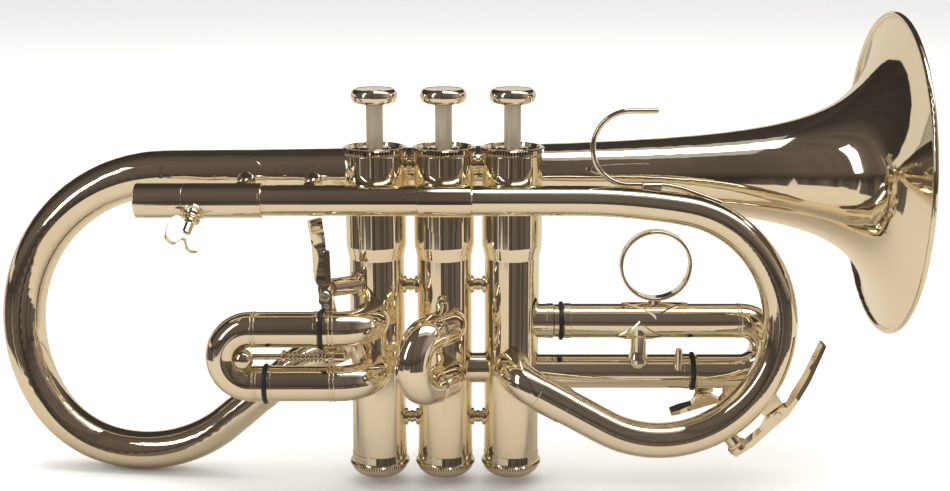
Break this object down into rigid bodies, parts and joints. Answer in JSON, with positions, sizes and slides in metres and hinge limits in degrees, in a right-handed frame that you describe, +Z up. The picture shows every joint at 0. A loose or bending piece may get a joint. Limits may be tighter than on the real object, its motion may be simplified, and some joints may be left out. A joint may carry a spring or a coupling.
{
  "type": "cornet",
  "caption": "Compact piston cornet with round front crook, flared bell, three valves, thumb-trigger first slide, ring third slide and water keys.",
  "frame": {"origin": "centre of the mouthpiece receiver's mouth, on the leadpipe's axis", "axes": "+X along the leadpipe towards the bell, +Y to the player's left, +Z up along the valves"},
  "size_m": [0.3437, 0.1232, 0.1768],
  "materials": {
    "polished_gold_plate": "mirror polished, clear lacquered",
    "satin_nickel": "satin",
    "spring_steel": "drawn wire",
    "white_nylon": "matt",
    "black_rubber": "matt",
    "felt": "felted",
    "cork": "natural"
  },
  "bodies": {
    "horn": {"bell": "polished_gold_plate", "bell_entry_tube": "polished_gold_plate", "bell_rim_wire": "polished_gold_plate", "body_braces": "polished_gold_plate", "bottom_cap_1": "polished_gold_plate", "bottom_cap_2": "polished_gold_plate", "bottom_cap_3": "polished_gold_plate", "finger_hook": "polished_gold_plate", "first_slide_fixed_tubes": "polished_gold_plate", "front_crook": "polished_gold_plate", "front_water_key_mount": "polished_gold_plate", "inter_valve_tubes": "polished_gold_plate", "leadpipe": "polished_gold_plate", "receiver_clamp": "polished_gold_plate", "slide_bumpers": "black_rubber", "slide_knuckles": "polished_gold_plate", "third_slide_fixed_tubes": "polished_gold_plate", "top_cap_1": "polished_gold_plate", "top_cap_2": "polished_gold_plate", "top_cap_3": "polished_gold_plate", "trigger_bracket": "polished_gold_plate", "trigger_screws": "spring_steel", "tube_ferrules": "polished_gold_plate", "valve_3_elbow": "polished_gold_plate", "valve_casing_1": "polished_gold_plate", "valve_casing_2": "polished_gold_plate", "valve_casing_3": "polished_gold_plate", "valve_guides": "white_nylon", "valve_spring_1": "spring_steel", "valve_spring_2": "spring_steel", "valve_spring_3": "spring_steel", "valve_struts": "polished_gold_plate"},
    "valve_1": {"piston_1": "satin_nickel", "finger_button_1": "polished_gold_plate", "piston_felts_1": "felt"},
    "valve_2": {"piston_2": "satin_nickel", "finger_button_2": "polished_gold_plate", "piston_felts_2": "felt"},
    "valve_3": {"piston_3": "satin_nickel", "finger_button_3": "polished_gold_plate", "piston_felts_3": "felt"},
    "mouthpiece_receiver": {"mouthpiece_receiver": "polished_gold_plate"},
    "clamp_screw": {"clamp_screw": "polished_gold_plate"},
    "first_slide": {"first_slide_bow": "polished_gold_plate", "first_slide_tubes": "polished_gold_plate", "first_slide_bumper": "black_rubber", "first_slide_link": "polished_gold_plate", "link_spring": "spring_steel"},
    "trigger": {"trigger_lever": "polished_gold_plate"},
    "second_slide": {"second_slide_bow": "polished_gold_plate"},
    "third_slide": {"third_slide_bow": "polished_gold_plate", "third_slide_tubes": "polished_gold_plate", "third_slide_ring": "polished_gold_plate", "third_slide_bumper": "black_rubber", "third_water_key_mount": "polished_gold_plate"},
    "third_water_key": {"third_water_key": "polished_gold_plate", "third_water_key_cork": "cork"},
    "front_water_key": {"front_water_key": "polished_gold_plate", "front_water_key_cork": "cork"}
  },
  "joints": [
    {"name": "valve_1_press", "type": "slide", "parent": "horn", "child": "valve_1", "axis": [0, 0, -1], "range_m": [0, 0.0155], "stiffness_N_per_m": 120, "springref_m": -0.012, "deforming": ["valve_spring_1"]},
    {"name": "valve_2_press", "type": "slide", "parent": "horn", "child": "valve_2", "axis": [0, 0, -1], "range_m": [0, 0.0155], "stiffness_N_per_m": 120, "springref_m": -0.012, "deforming": ["valve_spring_2"]},
    {"name": "valve_3_press", "type": "slide", "parent": "horn", "child": "valve_3", "axis": [0, 0, -1], "range_m": [0, 0.0155], "stiffness_N_per_m": 120, "springref_m": -0.012, "deforming": ["valve_spring_3"]},
    {"name": "first_trigger", "type": "hinge", "parent": "horn", "child": "trigger", "pos_m": [0.0674, 0.0004, -0.0334], "axis": [0, 1, 0], "range_deg": [0, 22]},
    {"name": "first_slide_pull", "type": "slide", "parent": "horn", "child": "first_slide", "axis": [-1, 0, 0], "range_m": [0, 0.0088]},
    {"name": "second_slide_pull", "type": "slide", "parent": "horn", "child": "second_slide", "axis": [-0.5878, -0.809, 0], "range_m": [0, 0.005]},
    {"name": "third_slide_pull", "type": "slide", "parent": "horn", "child": "third_slide", "axis": [1, 0, 0], "range_m": [0, 0.0103]},
    {"name": "third_key_press", "type": "hinge", "parent": "third_slide", "child": "third_water_key", "pos_m": [0.208, 0.017, -0.0796], "axis": [0, 1, 0], "range_deg": [0, 9]},
    {"name": "front_key_press", "type": "hinge", "parent": "horn", "child": "front_water_key", "pos_m": [0.23174, -0.005, -0.07855], "axis": [0, -1, 0], "range_deg": [0, 10]},
    {"name": "receiver_slide", "type": "slide", "parent": "horn", "child": "mouthpiece_receiver", "axis": [-1, 0, 0], "range_m": [0, 0.02]},
    {"name": "clamp_screw_turn", "type": "hinge", "parent": "horn", "child": "clamp_screw", "pos_m": [0.022, 0, 0], "axis": [-0.1399, -0.7993, -0.5845], "range_deg": [0, 180]}
  ],
  "couplings": [
    {"joint": "first_slide_pull", "follows": "first_trigger", "m_per_rad": 0.02268}
  ]
}
